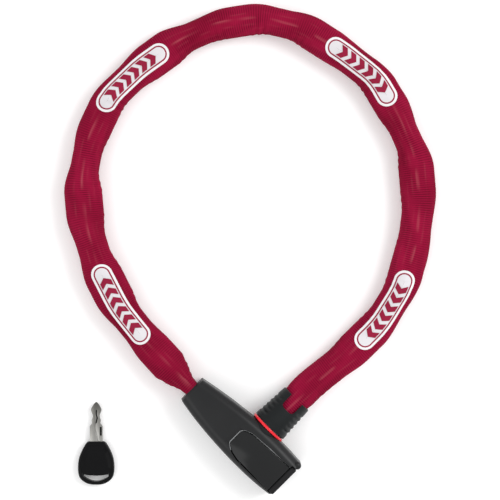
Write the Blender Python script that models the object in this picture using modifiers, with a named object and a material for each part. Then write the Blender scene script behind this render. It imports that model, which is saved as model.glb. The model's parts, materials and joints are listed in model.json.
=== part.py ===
"""Chain lock: a fabric-covered steel chain, its plug-in connector, a tapered housing and a key.

The lock lies flat on its back. +Z is up, and the origin is under the middle of the whole object.
All dimensions below are millimetres; the helper functions turn them into metres.
"""
import math

import bmesh
import bpy
from mathutils import Matrix, Vector

MM = 0.001
GAP = 0.35                        # air left between neighbouring pieces
SMOOTH_UP_TO = 35                 # edges sharper than this many degrees are shaded as corners

# Housing frame: U runs along the housing to its key end, V runs out along the connector, both level.
HOUSING_ORIGIN = (14.6, -146.0)   # where the connector meets the housing
HOUSING_TURN = -45.0              # direction of U, degrees from +X
PIN_AXIS_Z = 16.5                 # height of the connector and the cylinder
CYLINDER_V = -20.0                # where the cylinder's axis lies across the housing
CHAIN_V = -21.7                   # where the chain enters, across the housing

# Housing outline stations: u, lower v, upper v, top height.
HOUSING_STATIONS = (
    (-66.5, -33.7, -9.8, 28.0),
    (-52.0, -36.2, -7.0, 29.6),
    (-36.0, -37.9, -4.4, 31.2),
    (-14.0, -39.3, -1.8, 32.6),
    (10.0, -39.4, -0.6, 33.0),
    (26.0, -38.6, -0.7, 33.0),
    (39.6, -36.8, -1.6, 32.6),
)
SHELL_WALL = 2.0
TOP_CHAMFER = (5.0, 4.2)          # across, down
BACK_CHAMFER = (3.0, 3.0)
SPLIT_Z = 15.0                    # the joint between the front and rear shells
MOUTH = (6.2, 1.4, 26.4)          # chain mouth: half width, lowest, highest

PANEL_TOP = 31.5
PANEL_THICK = 1.7
PANEL_OUTLINE = (
    (-14.2, -29.4), (-14.2, -16.6), (-11.2, -13.6), (-5.6, -11.7), (12.7, -10.6), (34.9, -9.5),
    (34.9, -35.6), (0.0, -35.4), (-7.5, -33.9), (-12.2, -31.3),
)
POCKET_LEAD = 3.0                 # length of the slope that leads down to the panel

CAP_U = (35.3, 40.4)
CAP_V = (-35.4, -7.4)
CAP_Z = (3.2, 30.6)
COVER_SIZE = (10.0, 12.0, 1.1)    # across, up, thick
COVER_TRAVEL = 8.8
KEYHOLE_WINDOW = (4.4, 9.4)       # across, up

# Lock works
PIN_R = 6.0
PIN_TIP_V = -28.0
GROOVE = (-25.2, -21.0, 3.9)      # far end, near end, radius
BUSH_R = (6.7, 8.2)
BUSH_V = (-13.4, -1.6)
COLLAR_R = 15.2
COLLAR_V = (-8.2, -1.25)
LATCH_V = (-24.3, -21.9)
LATCH_TRAVEL = 3.5
LATCH_BIG_R = 6.7
LATCH_SMALL_R = 4.5
CAM_ECCENTRIC = LATCH_TRAVEL / math.sqrt(2)
CYLINDER_U = (12.6, 34.6)
CYLINDER_R = (6.9, 9.4)
PLUG_R = 6.5
PLUG_FACE_U = 37.6
WAFER_COUNT = 6
WAFER_PITCH = 3.2
CASE_V = (-33.4, -8.7)
CASE_Z = (3.5, 29.3)
CASE_U = (-20.0, 34.7)
CASE_WALL = 1.7
EAR_END_U = -57.0
EAR_HALF = 10.4                   # outer half spacing of the ears about the chain
ANCHOR_U = -52.0
SCREWS = ((25.0, -5.4), (-19.0, -5.6), (4.0, -36.3))

# Chain
LINK_COUNT = 24
LINK_BAR = 5.7
LINK_WIDTH = 23.0
LINK_HOLE_CORNER = 1.6            # radius of the hole's corners
LINK_SLACK = 2.6                  # play between two links pulled straight
RUN_LINKS = (3, 3, 4, 3, 4, 3, 2)  # links in each run between two hinge places
ROUTE = (                         # the chain's middle line, from the housing round to the connector
    (-60.2, -101.8), (-70, -91), (-88, -72), (-105, -52), (-118, -29), (-128, -5), (-135, 20), (-139, 46),
    (-136, 72), (-131, 91), (-124, 110), (-114, 127), (-98, 142), (-74, 160),
    (-58, 171), (-40, 179), (-21, 186), (-2, 190), (17, 189), (34, 186), (50, 178),
    (66, 165), (82, 158), (98, 147), (108, 132), (116, 116),
    (127, 100), (133, 85), (138, 66), (139, 46), (138, 27), (134, 1), (128, -24), (117, -48),
    (100, -69), (81, -87),
)
AXIS_LIFT = {0: 14.4, 1: 13.6, 22: 12.9, 23: 14.6, 24: 16.5}  # junction heights off the floor run

# Sleeve sections: half width, half height
SLEEVE_OUT = (14.0, 12.9)
SLEEVE_IN = (13.1, 12.1)
SLEEVE_SIDES = 12
SLEEVE_POWER = 2.5
HINGE_GAP = 3.6                   # space between two sleeve runs at a hinge place
CORNER_ROUND = 11.0               # how far from a junction the sleeve starts to bend

# Connector, measured out along V from the housing
BOOT_V = (1.35, 33.6)
BOOT_R = (15.5, 14.4)
BOOT_BORE = 13.2
RING_V = (-0.9, 1.0)
RING_R = (6.6, 15.6)
CROSS_PIN_V = 20.0
CROSS_PIN_R = 3.0
FORK_BASE_V = (1.5, 6.4)
FORK_HALF_WIDTH = 7.0
FORK_SLOT = 3.7
FORK_HALF_HEIGHT = 7.4
NOTCH = (12.0, 12.6)              # width, length

# Key, lying beside the lock with its tip towards +Y
KEY_TIP = (-126.6, -126.0)
KEY_BLADE_Z = (2.9, 5.1)
KEY_BOW_THICK = 8.0
KEY_BLADE = ((0.4, 0.0), (2.0, 1.6), (4.3, 5.6), (4.2, 7.2), (2.8, 10.6), (2.8, 12.6), (3.9, 15.0),
             (3.2, 17.4), (5.3, 19.6), (5.3, 36.0))
KEY_BOW = ((32.4, 6.6), (33.2, 7.8), (35.0, 9.1), (39.1, 11.4), (43.2, 13.2), (47.3, 14.4), (52.2, 14.9),
           # distance from the tip, half width
           (57.6, 14.8), (61.7, 13.8), (64.5, 11.4), (66.8, 7.7), (67.8, 3.5))
# the ring slot: half width, upper edge and lower edge at its middle and its ends
KEY_SLOT_HALF = 10.2
KEY_SLOT_UPPER = (60.3, 59.2)
KEY_SLOT_LOWER = (65.0, 61.2)


# ------------------------------------------------------------------ scene, collections and materials
def clear_scene():
    for ob in list(bpy.data.objects):
        bpy.data.objects.remove(ob, do_unlink=True)


def collection(name):
    coll = bpy.data.collections.new(name)
    bpy.context.scene.collection.children.link(coll)
    return coll


def material(name, colour, roughness, metallic=0.0):
    mat = bpy.data.materials.new(name)
    mat.use_nodes = True
    shader = mat.node_tree.nodes["Principled BSDF"]
    shader.inputs["Base Color"].default_value = (*colour, 1.0)
    shader.inputs["Roughness"].default_value = roughness
    shader.inputs["Metallic"].default_value = metallic
    return mat


clear_scene()
PARTS = collection("chain_lock")
CUTTERS = collection("cutters")
MATERIALS = {
    "housing": material("housing_plastic", (0.06, 0.063, 0.066), 0.5),
    "panel": material("panel_gloss", (0.03, 0.031, 0.033), 0.12),
    "dark": material("dark_plastic", (0.025, 0.026, 0.028), 0.55),
    "rubber": material("boot_rubber", (0.03, 0.032, 0.034), 0.6),
    "red": material("ring_red", (0.75, 0.02, 0.05), 0.2),
    "fabric": material("sleeve_fabric", (0.28, 0.012, 0.04), 0.8),
    "chain": material("chain_steel", (0.5, 0.5, 0.5), 0.35, 1.0),
    "steel": material("hardened_steel", (0.45, 0.46, 0.47), 0.3, 1.0),
    "brass": material("cylinder_brass", (0.6, 0.45, 0.18), 0.35, 1.0),
    "spring": material("spring_steel", (0.55, 0.56, 0.58), 0.25, 1.0),
    "key": material("key_steel", (0.42, 0.43, 0.42), 0.32, 1.0),
    "bow": material("key_head_plastic", (0.02, 0.02, 0.022), 0.45),
}


# ------------------------------------------------------------------ helpers
def empty(name, matrix, parent=None):
    ob = bpy.data.objects.new(name, None)
    PARTS.objects.link(ob)
    place(ob, matrix, parent)
    return ob


def world_of(ob):
    """The world matrix of an object placed by place()."""
    if ob is None:
        return Matrix.Identity(4)
    return world_of(ob.parent) @ ob.matrix_basis


def place(ob, matrix, parent=None):
    """Puts ob at a matrix given in its parent's frame."""
    ob.parent = parent
    ob.matrix_basis = matrix


def at(x, y, z):
    return Matrix.Translation((x * MM, y * MM, z * MM))


def along(axis, x=0.0, y=0.0, z=0.0):
    """A frame at x, y, z whose Z runs along the given axis letter of the parent."""
    turns = {
        "Z": Matrix.Identity(4),
        "X": Matrix.Rotation(math.radians(90), 4, "Y"),
        "Y": Matrix.Rotation(math.radians(-90), 4, "X"),
    }
    return at(x, y, z) @ turns[axis]


def mesh_object(name, bm, mat, matrix, parent, cutter=False):
    mesh = bpy.data.meshes.new(name)
    bm.to_mesh(mesh)
    bm.free()
    ob = bpy.data.objects.new(name, mesh)
    (CUTTERS if cutter else PARTS).objects.link(ob)
    if cutter:
        ob.hide_render = True
        ob.display_type = "WIRE"
    else:
        mesh.materials.append(MATERIALS[mat])
        mesh.shade_smooth()
        mesh.set_sharp_from_angle(angle=math.radians(SMOOTH_UP_TO))
    place(ob, matrix, parent)
    return ob


def block(name, x, y, z, mat, parent, cutter=False):
    """A box between pairs of limits, in the parent's frame."""
    size = [(b - a) * MM for a, b in (x, y, z)]
    middle = [(a + b) / 2 for a, b in (x, y, z)]
    bm = bmesh.new()
    bmesh.ops.create_cube(bm, size=1.0, matrix=Matrix.Diagonal((*size, 1.0)))
    return mesh_object(name, bm, mat, at(*middle), parent, cutter)


def rod(name, radius, start, end, mat, matrix, parent, cutter=False, sides=24):
    """A cylinder along the frame's Z between two heights."""
    bm = bmesh.new()
    bmesh.ops.create_cone(
        bm, cap_ends=True, segments=sides, radius1=radius * MM, radius2=radius * MM,
        depth=(end - start) * MM, matrix=at(0, 0, (start + end) / 2))
    return mesh_object(name, bm, mat, matrix, parent, cutter)


def turned(name, profile, mat, matrix, parent, cutter=False, steps=24):
    """A Screw of (radius, height) points, listed down the outer side; a ring's profile closes on itself."""
    bm = bmesh.new()
    verts = [bm.verts.new((r * MM, 0.0, z * MM)) for r, z in profile]
    ring = min(r for r, z in profile) > 0
    for a, b in zip(verts, verts[1:] + (verts[:1] if ring else [])):
        bm.edges.new((a, b))
    ob = mesh_object(name, bm, mat, matrix, parent, cutter)
    screw = ob.modifiers.new("turn", "SCREW")
    screw.steps = screw.render_steps = steps
    screw.use_merge_vertices = True
    screw.merge_threshold = 0.00001
    screw.use_smooth_shade = True
    return ob


def tube_profile(inner, outer, low, high):
    return ((outer, high), (outer, low), (inner, low), (inner, high))


def flat(name, outlines, low, high, mat, matrix, parent, cutter=False):
    """A plate between two heights of its frame, from an outline and any holes in it."""
    curve = bpy.data.curves.new(name, "CURVE")
    curve.dimensions = "2D"
    curve.fill_mode = "BOTH"
    curve.extrude = (high - low) / 2 * MM
    for outline in outlines:
        spline = curve.splines.new("POLY")
        spline.points.add(len(outline) - 1)
        for point, (x, y) in zip(spline.points, outline):
            point.co = (x * MM, y * MM, 0.0, 1.0)
        spline.use_cyclic_u = True
    guide = bpy.data.objects.new(name + "_outline", curve)
    CUTTERS.objects.link(guide)
    mesh = bpy.data.meshes.new_from_object(guide.evaluated_get(bpy.context.evaluated_depsgraph_get()))
    bm = bmesh.new()
    bm.from_mesh(mesh)
    bmesh.ops.remove_doubles(bm, verts=bm.verts, dist=0.000001)
    bmesh.ops.recalc_face_normals(bm, faces=bm.faces)
    bpy.data.objects.remove(guide, do_unlink=True)
    bpy.data.meshes.remove(mesh)
    return mesh_object(name, bm, mat, matrix @ at(0, 0, (low + high) / 2), parent, cutter)


def loft(name, rings, mat, matrix, parent, cutter=False, inner=None):
    """A skin over rings of points with equal counts; with inner rings it is a tube with a wall."""
    bm = bmesh.new()
    outer_verts = [[bm.verts.new([c * MM for c in p]) for p in ring] for ring in rings]
    skins = [outer_verts]
    if inner:
        skins.append([[bm.verts.new([c * MM for c in p]) for p in ring] for ring in inner])
    for skin in skins:
        for a, b in zip(skin, skin[1:]):
            for i in range(len(a)):
                j = (i + 1) % len(a)
                bm.faces.new((a[i], a[j], b[j], b[i]))
    for end in (0, -1):
        if inner:
            a, b = skins[0][end], skins[1][end]
            for i in range(len(a)):
                j = (i + 1) % len(a)
                bm.faces.new((a[i], a[j], b[j], b[i]))
        else:
            bm.faces.new(outer_verts[end])
    bmesh.ops.recalc_face_normals(bm, faces=bm.faces)
    return mesh_object(name, bm, mat, matrix, parent, cutter)


def boolean(ob, cutter, operation="DIFFERENCE"):
    mod = ob.modifiers.new(cutter.name, "BOOLEAN")
    mod.operation = operation
    mod.solver = "EXACT"
    mod.object = cutter


def bevel(ob, width, segments=1, angle=40):
    mod = ob.modifiers.new("bevel", "BEVEL")
    mod.width = width * MM
    mod.segments = segments
    mod.limit_method = "ANGLE"
    mod.angle_limit = math.radians(angle)


def arc(cx, cy, radius, start, end, steps):
    angles = [math.radians(start + (end - start) * i / steps) for i in range(steps + 1)]
    return [(cx + radius * math.cos(a), cy + radius * math.sin(a)) for a in angles]


def stadium(half_length, radius, steps=6):
    reach = half_length - radius
    return arc(reach, 0, radius, -90, 90, steps) + arc(-reach, 0, radius, 90, 270, steps)


def rounded_box(half_x, half_y, radius, steps=2):
    x, y = half_x - radius, half_y - radius
    return (arc(x, y, radius, 0, 90, steps) + arc(-x, y, radius, 90, 180, steps)
            + arc(-x, -y, radius, 180, 270, steps) + arc(x, -y, radius, 270, 360, steps))


# ------------------------------------------------------------------ housing shells
HOUSING = empty("housing_frame",
                at(*HOUSING_ORIGIN, 0) @ Matrix.Rotation(math.radians(HOUSING_TURN), 4, "Z"))


def housing_rings(wall):
    """Eight-sided sections of the housing, drawn in by a wall thickness."""
    rings = []
    corner = wall * 0.42          # how much less a chamfer moves along the flats
    for u, low, high, top in HOUSING_STATIONS:
        a, b, z0, z1 = low + wall, high - wall, wall, top - wall
        tc, th = TOP_CHAMFER[0] - corner, TOP_CHAMFER[1] - corner
        bc, bh = BACK_CHAMFER[0] - corner, BACK_CHAMFER[1] - corner
        rings.append([
            (u, a + bc, z0), (u, b - bc, z0), (u, b, z0 + bh), (u, b, z1 - th),
            (u, b - tc, z1), (u, a + tc, z1), (u, a, z1 - th), (u, a, z0 + bh)])
    return rings


def housing_hollow(name):
    """The inside of one shell, with a wall left at both ends."""
    rings = housing_rings(SHELL_WALL)
    rings[0] = [(u + SHELL_WALL, v, z) for u, v, z in rings[0]]
    rings[-1] = [(u - SHELL_WALL, v, z) for u, v, z in rings[-1]]
    return loft(name, rings, None, Matrix.Identity(4), HOUSING, cutter=True)


def housing_shell(name, keep_top):
    shell = loft(name, housing_rings(0), "housing", Matrix.Identity(4), HOUSING)
    boolean(shell, housing_hollow(name + "_hollow"))
    away = (-10, SPLIT_Z + GAP / 2) if keep_top else (SPLIT_Z - GAP / 2, 50)
    boolean(shell, block(name + "_split", (-90, 60), (-60, 20), away, None, HOUSING, cutter=True))
    mouth = block(name + "_mouth", (-80, -60), (CHAIN_V - MOUTH[0], CHAIN_V + MOUTH[0]), MOUTH[1:], None,
                  HOUSING, cutter=True)
    boolean(shell, mouth)
    boolean(shell, rod(name + "_collar_seat", COLLAR_R + GAP, -9.5, 6, None,
                       along("Y", 0, 0, PIN_AXIS_Z), HOUSING, cutter=True, sides=40))
    for i, (u, v) in enumerate(SCREWS):
        low, high = (SPLIT_Z + GAP / 2, 31.0) if keep_top else (1.0, SPLIT_Z - GAP / 2)
        if keep_top and v < -20:
            high = 28.6
        boss = rod(f"{name}_boss_{i}", 2.3, low, high, None, at(u, v, 0), HOUSING, cutter=True, sides=12)
        boolean(shell, boss, "UNION")
        hole = (0.0, 24.5) if keep_top else (-1.0, 20.0)
        boolean(shell,
                rod(f"{name}_hole_{i}", 1.35, *hole, None, at(u, v, 0), HOUSING, cutter=True, sides=12))
        if not keep_top:
            boolean(shell, rod(f"{name}_head_{i}", 2.2, -1.0, 2.6, None, at(u, v, 0), HOUSING, cutter=True,
                               sides=12))
    return shell


def grown(outline, middle, amount):
    """An outline moved outwards from a middle point by about the given amount."""
    out = []
    for x, y in outline:
        d = Vector((x - middle[0], y - middle[1]))
        d += d.normalized() * amount
        out.append((middle[0] + d.x, middle[1] + d.y))
    return out


def panel_pocket(front):
    middle = (14.0, -23.0)
    outline = grown(PANEL_OUTLINE, middle, 2 * GAP)
    outline = [(60.0 if u > 30 else u, v) for u, v in outline]
    boolean(front,
            flat("pocket_through", [outline], 24.0, 40.0, None, Matrix.Identity(4), HOUSING, cutter=True))
    # the lead-in slope: a wedge whose floor rises from the panel's top to the shell's top
    u_deep = PANEL_OUTLINE[0][0] + 0.6
    z_deep = PANEL_TOP - 0.1
    slope = [
        [(u_deep, -30.4, z_deep), (u_deep, -15.6, z_deep), (u_deep, -15.6, 40), (u_deep, -30.4, 40)],
        [(u_deep - POCKET_LEAD * 4, -29.6, z_deep + 6), (u_deep - POCKET_LEAD * 4, -16.2, z_deep + 6),
         (u_deep - POCKET_LEAD * 4, -16.2, 40), (u_deep - POCKET_LEAD * 4, -29.6, 40)],
    ]
    boolean(front, loft("pocket_slope", slope, None, Matrix.Identity(4), HOUSING, cutter=True))


def end_opening(shell, name):
    boolean(shell,
            block(name, (CAP_U[0] - GAP, 60), (CAP_V[0] - GAP, CAP_V[1] + GAP), (CAP_Z[0] - GAP, 40), None,
                         HOUSING, cutter=True))


front_shell = housing_shell("housing_front_shell", True)
panel_pocket(front_shell)
end_opening(front_shell, "front_end_opening")
rear_shell = housing_shell("housing_rear_shell", False)
end_opening(rear_shell, "rear_end_opening")

front_panel = flat("front_panel", [PANEL_OUTLINE], PANEL_TOP - PANEL_THICK, PANEL_TOP, "panel",
                   Matrix.Identity(4), HOUSING)
bevel(front_panel, 0.4)


for number, (screw_u, screw_v) in enumerate(SCREWS, 1):
    turned(f"housing_screw_{number}",
           ((0, 22.0), (1.05, 22.0), (1.05, 2.3), (1.9, 2.3), (1.9, 0.5), (0, 0.5)),
           "steel", at(screw_u, screw_v, 0), HOUSING, steps=12)

# ------------------------------------------------------------------ end cap and keyhole cover
end_cap = block("end_cap", CAP_U, CAP_V, CAP_Z, "dark", HOUSING)
bevel(end_cap, 1.2, 2)
cover_half = COVER_SIZE[0] / 2
recess_v = (CYLINDER_V - cover_half - COVER_TRAVEL - GAP, CYLINDER_V + cover_half + GAP)
recess_z = (PIN_AXIS_Z - COVER_SIZE[1] / 2 - GAP, PIN_AXIS_Z + COVER_SIZE[1] / 2 + GAP)
recess_floor = CAP_U[1] - COVER_SIZE[2] - 0.6
boolean(end_cap, block("cover_track", (recess_floor, 50), recess_v, recess_z, None, HOUSING, cutter=True))
boolean(end_cap,
        rod("plug_seat", PLUG_R + 0.6, 30, PLUG_FACE_U + GAP, None, along("X", 0, CYLINDER_V, PIN_AXIS_Z),
                     HOUSING, cutter=True))
window_v, window_z = (side / 2 for side in KEYHOLE_WINDOW)
boolean(end_cap, block("keyhole_window", (30, 50), (CYLINDER_V - window_v, CYLINDER_V + window_v),
                       (PIN_AXIS_Z - window_z, PIN_AXIS_Z + window_z), None, HOUSING, cutter=True))

COVER = empty("keyhole_cover_slide", at(recess_floor + 0.3, CYLINDER_V, PIN_AXIS_Z), HOUSING)
cover = block("keyhole_cover", (0, COVER_SIZE[2]), (-cover_half, cover_half),
              (-COVER_SIZE[1] / 2, COVER_SIZE[1] / 2), "dark", COVER)
for rib in (-2.4, 0.0, 2.4):
    boolean(cover, block(f"cover_rib_{rib:+.0f}", (COVER_SIZE[2] - 0.4, COVER_SIZE[2] + 0.5),
                         (rib - 0.5, rib + 0.5),
                         (-4.0, 4.0), None, COVER, cutter=True), "UNION")

# ------------------------------------------------------------------ steel case and chain anchor
case = block("steel_case", CASE_U, CASE_V, CASE_Z, "steel", HOUSING)
boolean(case,
        block("case_inside", (CASE_U[0] + CASE_WALL, 60), (CASE_V[0] + CASE_WALL, CASE_V[1] - CASE_WALL),
                    (CASE_Z[0] + CASE_WALL, CASE_Z[1] - CASE_WALL), None, HOUSING, cutter=True))
for side, name in ((-1, "far"), (1, "near")):
    outer = CHAIN_V + side * EAR_HALF
    ear = block(f"ear_{name}", (EAR_END_U, CASE_U[0] + 0.5), tuple(sorted((outer, outer - side * 1.9))),
                (8.0, 20.5),
                None, HOUSING, cutter=True)
    boolean(case, ear, "UNION")
boolean(case, rod("case_bush_hole", BUSH_R[1] + GAP, -16, 0, None, along("Y", 0, 0, PIN_AXIS_Z), HOUSING,
                  cutter=True))
anchor_z = AXIS_LIFT[0] - 0.2
boolean(case, rod("case_anchor_hole", 3.0 + GAP, -40, 0, None, along("Y", ANCHOR_U, 0, anchor_z), HOUSING,
                  cutter=True, sides=16))
rod("chain_anchor_pin", 3.0, CHAIN_V - EAR_HALF - 0.5, CHAIN_V + EAR_HALF + 0.5, "steel",
    along("Y", ANCHOR_U, 0, anchor_z), HOUSING, sides=16)

# ------------------------------------------------------------------ socket
turned("socket_bush", tube_profile(*BUSH_R, *BUSH_V), "steel", along("Y", 0, 0, PIN_AXIS_Z), HOUSING,
       steps=20)
turned("socket_collar",
       ((COLLAR_R - 0.8, COLLAR_V[1]), (COLLAR_R, COLLAR_V[1] - 0.8), (COLLAR_R, COLLAR_V[0]),
                         (BUSH_R[1] + GAP, COLLAR_V[0]), (BUSH_R[1] + GAP, COLLAR_V[1])),
       "dark", along("Y", 0, 0, PIN_AXIS_Z), HOUSING, steps=36)

# ------------------------------------------------------------------ cylinder, plug, wafers and cam
turned("cylinder_body", tube_profile(*CYLINDER_R, *CYLINDER_U), "brass",
       along("X", 0, CYLINDER_V, PIN_AXIS_Z),
       HOUSING, steps=20)
PLUG = empty("plug_turn_axis", at(0, CYLINDER_V, PIN_AXIS_Z), HOUSING)
plug = turned("plug", ((0, PLUG_FACE_U), (PLUG_R, PLUG_FACE_U), (PLUG_R, CYLINDER_U[0] - 0.3),
                       (4.4, CYLINDER_U[0] - 0.3), (4.4, 11.0), (2.6, 11.0), (2.6, 10.3), (0, 10.3)),
              "brass", along("X"), PLUG, steps=20)
boolean(plug, block("keyway", (15.0, 45.0), (-1.3, 1.3), (-4.0, 4.0), None, PLUG, cutter=True))
wafer_starts = [CYLINDER_U[0] + 3.2 + i * WAFER_PITCH for i in range(WAFER_COUNT)]
for i, start in enumerate(wafer_starts):
    boolean(plug, block(f"wafer_slot_{i}", (start, start + 1.9), (-3.9, 3.9), (-9.0, 9.0), None, PLUG,
                        cutter=True))

boolean(plug,
        block("wafer_spine_room", (wafer_starts[0], wafer_starts[-1] + 1.0), (-0.9, 0.9), (4.2, 9.0), None,
                    PLUG, cutter=True))
wafers = block("wafer_stack", (wafer_starts[0] + 0.6, wafer_starts[-1] + 1.0), (-0.5, 0.5), (4.6, 5.3),
               "steel", PLUG)
for i, start in enumerate(wafer_starts):
    plate = [(-5.4, -3.5), (5.4, -3.5), (5.4, 3.5), (-5.4, 3.5)]
    key_hole = [(-3.4, -1.5), (3.4, -1.5), (3.4, 1.5), (-3.4, 1.5)]
    boolean(wafers,
            flat(f"wafer_{i}", [plate, key_hole], start + 0.35, start + 1.55, None, along("X"), PLUG,
                         cutter=True), "UNION")
turned("plug_retaining_clip", tube_profile(4.75, 7.4, 11.25, 12.05), "spring", along("X"), PLUG, steps=16)
cam = turned("drive_cam", ((0, 11.0), (6.0, 11.0), (6.0, 8.9), (0, 8.9)), "steel", along("X"), PLUG,
             steps=20)
boolean(cam, rod("cam_socket", 2.95, 10.0, 12.0, None, along("X"), PLUG, cutter=True, sides=20))
boolean(cam, rod("cam_neck_room", 4.75, 10.7, 12.0, None, along("X"), PLUG, cutter=True, sides=20))
rest_angle = math.radians(-45)
cam_pin = (CAM_ECCENTRIC * math.cos(rest_angle), CAM_ECCENTRIC * math.sin(rest_angle))
boolean(cam, rod("cam_pin", 1.2, 7.0, 9.4, None, along("X", 0, *cam_pin), PLUG, cutter=True, sides=12),
        "UNION")

# ------------------------------------------------------------------ latch and its spring
LATCH = empty("latch_slide", at(0, 0, PIN_AXIS_Z), HOUSING)
latch = block("latch", (-9.6, 8.6), LATCH_V, (-10.4, 7.4), "steel", LATCH)
boolean(latch, rod("latch_pass", LATCH_BIG_R, -30, -18, None, along("Y"), LATCH, cutter=True))
boolean(latch, rod("latch_notch", LATCH_SMALL_R, -30, -18, None, along("Y", 0, 0, -LATCH_TRAVEL), LATCH,
                   cutter=True))
spring_seat = -5.2                # height of the step over the spring, from the pin's axis
boolean(latch, block("latch_step", (-20, -5.2), (-40, 0), (-20, spring_seat), None, LATCH, cutter=True))
tab_v = (LATCH_V[0], CYLINDER_V + 5.0)
boolean(latch, block("latch_tab", (7.3, 8.6), tab_v, (-6.0, 2.5), None, LATCH, cutter=True), "UNION")
slot_v = (CYLINDER_V + cam_pin[0] - 1.6, CYLINDER_V + CAM_ECCENTRIC + 1.6)
boolean(latch, block("latch_slot", (6.5, 9.5), slot_v, (cam_pin[1] - 1.6, cam_pin[1] + 1.6), None, LATCH,
                     cutter=True))


def coil(name, radius, wire, low, high, turns, mat, matrix, parent):
    """A compression spring along the frame's Z."""
    curve = bpy.data.curves.new(name, "CURVE")
    curve.dimensions = "3D"
    curve.bevel_depth = wire * MM
    curve.bevel_resolution = 1
    curve.use_fill_caps = True
    spline = curve.splines.new("POLY")
    count = turns * 8 + 1
    spline.points.add(count - 1)
    for i, point in enumerate(spline.points):
        a = 2 * math.pi * turns * i / (count - 1)
        z = low + (high - low) * i / (count - 1)
        point.co = (radius * math.cos(a) * MM, radius * math.sin(a) * MM, z * MM, 1.0)
    guide = bpy.data.objects.new(name + "_wire", curve)
    CUTTERS.objects.link(guide)
    mesh = bpy.data.meshes.new_from_object(guide.evaluated_get(bpy.context.evaluated_depsgraph_get()))
    bm = bmesh.new()
    bm.from_mesh(mesh)
    bmesh.ops.remove_doubles(bm, verts=bm.verts, dist=0.000001)
    bmesh.ops.recalc_face_normals(bm, faces=bm.faces)
    bpy.data.objects.remove(guide, do_unlink=True)
    bpy.data.meshes.remove(mesh)
    return mesh_object(name, bm, mat, matrix, parent)


spring_foot = CASE_Z[0] + CASE_WALL + 0.7
coil("latch_spring", 1.5, 0.3, spring_foot, PIN_AXIS_Z + spring_seat - 0.7, 4, "spring",
     at(-7.6, (LATCH_V[0] + LATCH_V[1]) / 2, 0), HOUSING)
rod("cylinder_pin", 1.3, CASE_V[0] + CASE_WALL + 0.3, CYLINDER_V - CYLINDER_R[1] - 0.3, "steel",
    along("Y", 22, 0, PIN_AXIS_Z), HOUSING, sides=12)

# ------------------------------------------------------------------ the chain's course
def housing_point(u, v, z):
    return Vector([c / MM for c in world_of(HOUSING) @ Vector((u * MM, v * MM, z * MM))])


def chain_spline(points, samples=12):
    """A cubic B-spline led by flat points, as a dense list; it starts on the first and ends on the last."""
    pts = [Vector(p) for p in points]
    pts = [2 * pts[0] - pts[1]] + pts + [2 * pts[-1] - pts[-2]]
    out = []
    for p0, p1, p2, p3 in zip(pts, pts[1:], pts[2:], pts[3:]):
        for i in range(samples):
            t = i / samples
            out.append((p0 * (1 - t) ** 3 + p1 * (3 * t ** 3 - 6 * t ** 2 + 4)
                        + p2 * (-3 * t ** 3 + 3 * t ** 2 + 3 * t + 1) + p3 * t ** 3) / 6)
    return out + [pts[-2]]


def walk(curve, pitch, count):
    """Points one chord apart along a curve, starting at its first point."""
    found = [curve[0]]
    i = 0
    while len(found) <= count and i < len(curve) - 1:
        a, b = curve[i], curve[i + 1]
        if (b - found[-1]).length < pitch:
            i += 1
            continue
        low, high = 0.0, 1.0
        for _ in range(40):
            mid = (low + high) / 2
            if (a.lerp(b, mid) - found[-1]).length < pitch:
                low = mid
            else:
                high = mid
        found.append(a.lerp(b, high))
        curve = curve[:i] + [a.lerp(b, high)] + curve[i + 1:]
    return found


def course(pitch):
    """The chain's middle line from the first hinge to the last, for links of a pitch."""
    reach = (LINK_BAR + LINK_SLACK) / 2
    first = housing_point(ANCHOR_U + reach - pitch, CHAIN_V, 0).xy
    last = housing_point(0, CROSS_PIN_V - reach + pitch, 0).xy
    return chain_spline([first] + [Vector(p) for p in ROUTE[1:]] + [last])


def link_places():
    """The junctions between links, and the pitch that fits them between the housing and the connector."""
    low, high = 30.0, 42.0
    for _ in range(40):
        pitch = (low + high) / 2
        if len(walk(course(pitch), pitch, LINK_COUNT - 2)) > LINK_COUNT - 2:
            low = pitch
        else:
            high = pitch
    reach = (LINK_BAR + LINK_SLACK) / 2
    ends = [housing_point(u, v, 0).xy for u, v in ((ANCHOR_U + reach, CHAIN_V), (0, CROSS_PIN_V - reach))]
    places = [ends[0]] + walk(course(low), low, LINK_COUNT - 2) + [ends[1]]
    floor = SLEEVE_OUT[1] * section_shape(SLEEVE_POWER)[2][1]
    return [Vector((p.x, p.y, AXIS_LIFT.get(i, floor))) for i, p in enumerate(places)], low


def section_shape(power):
    """Unit points round a sleeve section, flat at its sides, top and foot."""
    out = []
    for i in range(SLEEVE_SIDES):
        a = math.radians(15 + 360 / SLEEVE_SIDES * i)
        out.append([math.copysign(abs(c) ** (2 / power), c) for c in (math.cos(a), math.sin(a))])
    return out


JUNCTIONS, LINK_PITCH = link_places()


# ------------------------------------------------------------------ chain bodies
def run_table():
    """For each run of links: its first and last junction."""
    table, first = [], 1
    for count in RUN_LINKS:
        table.append((first, first + count))
        first += count
    return table


RUNS = run_table()
PIVOTS = [empty(f"hinge_{k + 1}", Matrix.Translation(JUNCTIONS[a] * MM), None) for k,
          (a, b) in enumerate(RUNS)]
CONNECTOR = empty("connector_hinge", Matrix.Translation(JUNCTIONS[RUNS[-1][1]] * MM), None)


def body_of_link(i):
    """The parent of link i, counted from 0 at the housing."""
    if i == 0:
        return None
    for (a, b), pivot in zip(RUNS, PIVOTS):
        if a <= i < b:
            return pivot
    return CONNECTOR


def in_parent(world, parent):
    return world_of(parent).inverted() @ world


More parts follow.
